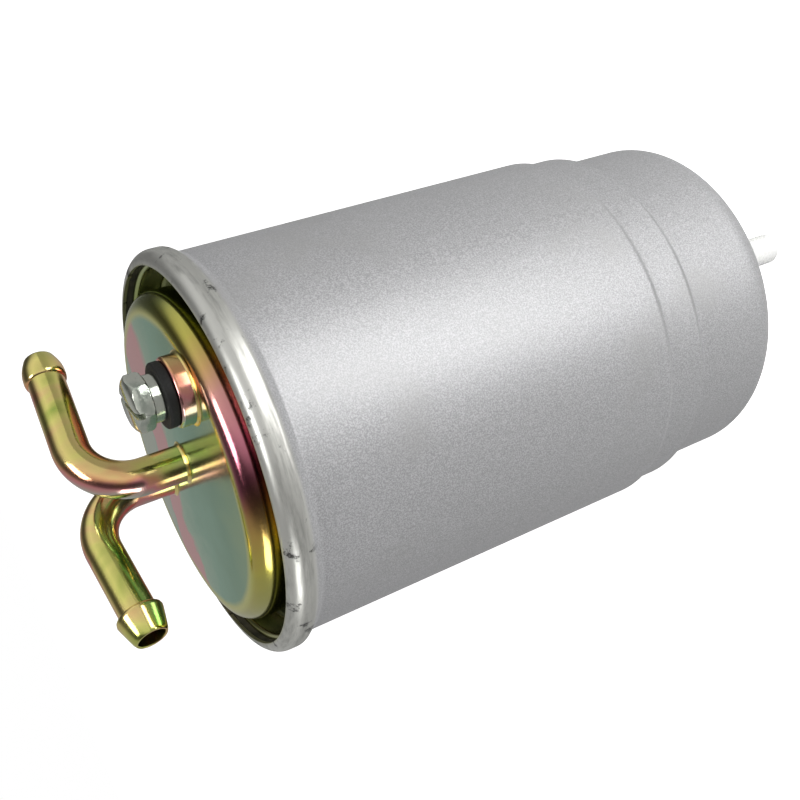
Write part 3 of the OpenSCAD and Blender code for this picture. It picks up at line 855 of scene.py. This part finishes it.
def plate_chromate():
    """The plate's chromate coat with painted light: grey-green on the flat, darker across its middle as
    painted shade and reflection, with a rose band; straw to rose to maroon round the shoulder, with a
    painted highlight in the rose and a painted dark reflection in the maroon; dark olive in the moat as
    painted shade."""
    mat, tree, shader, place = finish_named("plate_chromate")
    shader.inputs["Metallic"].default_value = 1.0
    grain, rough = chromate_grain(tree, place, 0.13)
    height, reach = axis_parts(tree, place)
    streak = add(
        tree, "ShaderNodeTexNoise", in_Scale=34.0, in_Detail=4.0, in_Roughness=0.6, in_Distortion=0.6
    )
    tree.links.new(place, streak.inputs["Vector"])
    chord = along(tree, place, (0.72, 0.69, 0.0), 33 * MM, -0.10, 0.90)
    across = stirred(tree, chord, streak.outputs["Fac"], 0.50)
    # Painted shade and reflection: the grey-green darkens towards the middle of this ramp; the rose band is
    # the film's own colour
    flat = ramp(tree, [
        (0.0, (0.42, 0.46, 0.18)), (0.22, (0.27, 0.42, 0.20)), (0.45, (0.15, 0.34, 0.19)),
        (0.62, (0.20, 0.42, 0.27)), (0.76, (0.33, 0.50, 0.34)), (0.81, (0.72, 0.32, 0.31)),
        (0.93, (0.74, 0.34, 0.33)), (0.97, (0.40, 0.50, 0.38)), (1.0, (0.46, 0.52, 0.40)),
    ])
    tree.links.new(across, flat.inputs["Fac"])
    # Painted highlight and dark reflection: round the shoulder the rose stops stand for a highlight and the
    # maroon stop for a dark reflection, laid along a fixed direction across the plate; the straw and olive
    # stops are the film's colour
    round_rim = along(tree, place, (0.94, -0.342, 0.0), 34.8 * MM, -0.12, 0.88)
    round_rim = stirred(tree, round_rim, streak.outputs["Fac"], 0.24)
    shoulder = ramp(tree, [
        (0.0, (0.42, 0.42, 0.14)), (0.08, (0.60, 0.54, 0.12)), (0.17, (0.62, 0.42, 0.12)),
        (0.25, (0.42, 0.19, 0.10)), (0.32, (0.30, 0.09, 0.12)), (0.42, (0.58, 0.20, 0.26)),
        (0.57, (0.74, 0.36, 0.32)), (0.67, (0.70, 0.44, 0.18)), (0.76, (0.58, 0.52, 0.12)),
        (0.88, (0.44, 0.48, 0.12)), (1.0, (0.38, 0.44, 0.16)),
    ])
    tree.links.new(round_rim, shoulder.inputs["Fac"])
    wavy = stirred(tree, reach, streak.outputs["Fac"], 0.0016)
    edge = ranged(tree, wavy, FACE_R - 0.6 * MM, FACE_R + 1.2 * MM)
    bend = ranged(tree, wavy, FACE_R + 1.2 * MM, FACE_R + 2.8 * MM)
    # Painted shade: the moat recess is darkened to dark olive, with a painted reflection of the yellow
    # plate in it
    moat = ranged(tree, height, FACE_Z - 5.0 * MM, FACE_Z - 8.5 * MM)
    body = mixed(tree, flat.outputs["Color"], (0.62, 0.62, 0.16), edge)
    body = mixed(tree, body, shoulder.outputs["Color"], bend)
    body = mixed(tree, body, (0.20, 0.22, 0.08), moat)
    marks = placed(tree, scuff_group, place, Size=130.0, Share=0.06)
    finished(tree, shader, body, marks, (0.66, 0.66, 0.58), rough, grain, 0.12, 0.00004)
    return mat


def clear_zinc():
    mat, tree, shader, place = finish_named("clear_zinc")
    grain = placed(tree, grain_group, place, Fine=1800.0, Broad=260.0)
    marks = placed(tree, scuff_group, place, Size=420.0, Share=0.16)
    shader.inputs["Metallic"].default_value = 0.9
    cloud = ranged(tree, grain.outputs["Height"], 0.45, 0.8)
    base = mixed(tree, (0.46, 0.51, 0.44), (0.66, 0.68, 0.60), cloud)
    rough = speckled(tree, grain, 0.10, 0.20)
    finished(tree, shader, base, marks, (0.12, 0.12, 0.11), rough, grain, 0.14, 0.00006)
    return mat


def black_rubber():
    mat, tree, shader, place = finish_named("black_rubber")
    grain = placed(tree, grain_group, place, Fine=2400.0, Broad=600.0)
    dust = placed(tree, scuff_group, place, Size=300.0, Share=0.16)
    base = mixed(tree, (0.005, 0.005, 0.005), (0.016, 0.016, 0.015), grain.outputs["Speckle"])
    shader.inputs["Specular IOR Level"].default_value = 0.3
    rough = speckled(tree, grain, 0.5, 0.75)
    finished(tree, shader, base, dust, (0.09, 0.085, 0.07), rough, grain, 0.4, 0.00008)
    return mat


def white_nylon():
    mat, tree, shader, place = finish_named("white_nylon")
    grain = placed(tree, grain_group, place, Fine=1500.0, Broad=260.0)
    white = mixed(tree, (0.86, 0.86, 0.83), (0.93, 0.93, 0.91), grain.outputs["Height"])
    tree.links.new(white, shader.inputs["Base Color"])
    tree.links.new(speckled(tree, grain, 0.22, 0.34), shader.inputs["Roughness"])
    shader.inputs["Subsurface Weight"].default_value = 0.25
    shader.inputs["Subsurface Radius"].default_value = (0.002, 0.002, 0.0018)
    bumped(tree, shader, grain.outputs["Height"], 0.1, 0.00005)
    return mat


def plain_metal(name, dark, light, roughness, metallic=1.0):
    """Bright or oiled sheet and wire inside the can."""
    mat, tree, shader, place = finish_named(name)
    grain = placed(tree, grain_group, place, Fine=1600.0, Broad=300.0)
    marks = placed(tree, scuff_group, place, Size=160.0, Share=0.12)
    base = mixed(tree, dark, light, ranged(tree, grain.outputs["Height"], 0.4, 0.9))
    base = mixed(tree, base, light, marks.outputs["Scratches"])
    shader.inputs["Metallic"].default_value = metallic
    rough = speckled(tree, grain, roughness, roughness + 0.12)
    finished(tree, shader, base, marks, tuple(0.3 * c for c in dark), rough, grain, 0.2, 0.00005)
    return mat


def filter_paper():
    mat, tree, shader, place = finish_named("filter_paper")
    grain = placed(tree, grain_group, place, Fine=2200.0, Broad=180.0)
    fibres = placed(tree, scuff_group, place, Size=700.0, Share=0.22)
    base = mixed(tree, (0.62, 0.50, 0.27), (0.78, 0.68, 0.44), grain.outputs["Height"])
    rough = speckled(tree, grain, 0.8, 0.95)
    finished(tree, shader, base, fibres, (0.88, 0.80, 0.60), rough, grain, 0.5, 0.0001)
    return mat


def cast_adhesive():
    mat, tree, shader, place = finish_named("cast_adhesive")
    grain = placed(tree, grain_group, place, Fine=900.0, Broad=140.0)
    green = mixed(tree, (0.16, 0.24, 0.17), (0.26, 0.36, 0.25), grain.outputs["Height"])
    tree.links.new(green, shader.inputs["Base Color"])
    tree.links.new(speckled(tree, grain, 0.3, 0.5), shader.inputs["Roughness"])
    bumped(tree, shader, grain.outputs["Height"], 0.3, 0.0002)
    return mat


def give(mat, *objects):
    for o in objects:
        o.data.materials.clear()
        o.data.materials.append(mat)


# ---------------------------------------------------------------- floor, light and sky


def white_floor():
    clear_selection()
    bpy.ops.mesh.primitive_plane_add(size=12, location=(0, 0, CAN_BOTTOM - 0.30))
    floor = name_piece("studio_floor")
    settle(floor)
    mat, tree, shader, _ = finish_named("pale_floor")
    shader.inputs["Base Color"].default_value = (0.9, 0.9, 0.9, 1)
    shader.inputs["Roughness"].default_value = 0.9
    shader.inputs["Emission Color"].default_value = (1, 1, 1, 1)
    path = add(tree, "ShaderNodeLightPath")
    tree.links.new(path.outputs["Is Camera Ray"], shader.inputs["Emission Strength"])
    floor.data.materials.append(mat)


def panel(name, aim, place, size, energy, colour=(1, 1, 1)):
    bpy.ops.object.light_add(type="AREA", location=place)
    lamp = bpy.context.object
    lamp.name = name
    lamp.data.shape = "RECTANGLE"
    lamp.data.size, lamp.data.size_y = size
    lamp.data.energy = energy
    lamp.data.color = colour
    lamp.rotation_euler = (Vector(aim) - Vector(place)).to_track_quat("-Z", "Y").to_euler()


# The can lies on its side in the view, so the sky and the lights stand round this upward direction
VIEW_UP = Vector((0.337, -0.9415, 0.0))
VIEW_SIDE = Vector((0.9415, 0.337, 0.0))


def studio_sky():
    """Pale overhead, dark towards the horizon and mid grey below, for bright metal to mirror."""
    world = bpy.data.worlds.new("studio_sky")
    bpy.context.scene.world = world
    world.use_nodes = True
    tree = world.node_tree
    ground = tree.nodes["Background"]
    coords = add(tree, "ShaderNodeTexCoord")
    rise = add(tree, "ShaderNodeVectorMath", operation="DOT_PRODUCT", in_1=tuple(VIEW_UP))
    tree.links.new(coords.outputs["Generated"], rise.inputs[0])
    half = add(tree, "ShaderNodeMath", operation="MULTIPLY_ADD", in_1=0.5, in_2=0.5)
    tree.links.new(rise.outputs["Value"], half.inputs[0])
    grey = ramp(tree, [
        (0.0, even_grey(0.55)), (0.26, even_grey(0.50)), (0.38, even_grey(0.12)),
        (0.52, even_grey(0.06)), (0.62, even_grey(0.22)), (0.72, even_grey(0.72)),
        (0.84, even_grey(0.95)), (1.0, even_grey(0.75)),
    ])
    tree.links.new(half.outputs[0], grey.inputs["Fac"])
    tree.links.new(grey.outputs["Color"], ground.inputs["Color"])
    ground.inputs["Strength"].default_value = 0.8
    seen = add(tree, "ShaderNodeBackground", in_Color=(1, 1, 1, 1), in_Strength=1.0)
    path = add(tree, "ShaderNodeLightPath")
    either = add(tree, "ShaderNodeMixShader")
    tree.links.new(path.outputs["Is Camera Ray"], either.inputs[0])
    tree.links.new(ground.outputs[0], either.inputs[1])
    tree.links.new(seen.outputs[0], either.inputs[2])
    tree.links.new(either.outputs[0], tree.nodes["World Output"].inputs["Surface"])


def stand_lights():
    axis = Vector((0, 0, 1))
    panel("key_panel", (0, 0, 0), VIEW_UP * 0.5 - VIEW_SIDE * 0.26 - axis * 0.22, (0.42, 0.30), 2.0)
    panel("front_panel", (0, 0, 0.03), VIEW_UP * 0.16 - VIEW_SIDE * 0.10 + axis * 0.6, (0.30, 0.20), 1.4)
    panel("far_panel", (0, 0, -0.06), VIEW_UP * 0.33 - VIEW_SIDE * 0.38 - axis * 0.46, (0.24, 0.24), 8.0)
    panel("low_panel", (0, 0, 0), VIEW_UP * -0.35 - VIEW_SIDE * 0.45 + axis * 0.2, (0.25, 0.25), 0.9)


# ---------------------------------------------------------------- put together

place_camera()
can = make_can()
plate = make_end_plate()
outlet, inlet = make_pipes()
vent_boss = make_vent_boss()
vent_washer, drain_washer = make_seals()
vent_screw = make_vent_screw()
drain_plug = make_drain_plug()

give(silver_can_paint(), can)
give(plate_chromate(), plate)
give(yellow_chromate("pipe_chromate", 52.0, 0.50, 1.5, 0.12, 0.24), outlet, inlet)
give(yellow_chromate("boss_chromate", 90.0, 0.71, 0.5, 0.14, 0.24), vent_boss)
braze = yellow_chromate("braze_chromate", 200.0, 0.33, 0.3, 0.18)
give(braze, cad["outlet_braze"], cad["inlet_braze"], cad["vent_braze"])
give(clear_zinc(), vent_screw)
give(black_rubber(), vent_washer, drain_washer, cad["outlet_grommet"])
give(white_nylon(), drain_plug)
insert_zinc = plain_metal("insert_zinc", (0.45, 0.46, 0.42), (0.72, 0.73, 0.68), 0.3)
give(insert_zinc, cad["drain_insert"], cad["drain_weld"])
tinplate = plain_metal("bright_tinplate", (0.52, 0.52, 0.53), (0.80, 0.80, 0.80), 0.22)
give(tinplate, cad["top_cap"], cad["bottom_cap"], cad["centre_tube"], cad["spring_seat"], cad["pleat_clip"])
spring_wire = plain_metal("oiled_spring_wire", (0.10, 0.10, 0.11), (0.30, 0.30, 0.31), 0.3)
give(spring_wire, cad["pressure_spring"])
seam_compound = plain_metal("seam_compound", (0.03, 0.03, 0.028), (0.09, 0.085, 0.07), 0.6, 0.0)
give(seam_compound, cad["seam_gasket"])
give(filter_paper(), cad["pleated_paper"])
give(cast_adhesive(), cad["top_potting"], cad["bottom_potting"])

white_floor()
studio_sky()
stand_lights()

bpy.context.scene.view_settings.view_transform = "Standard"
clear_selection()
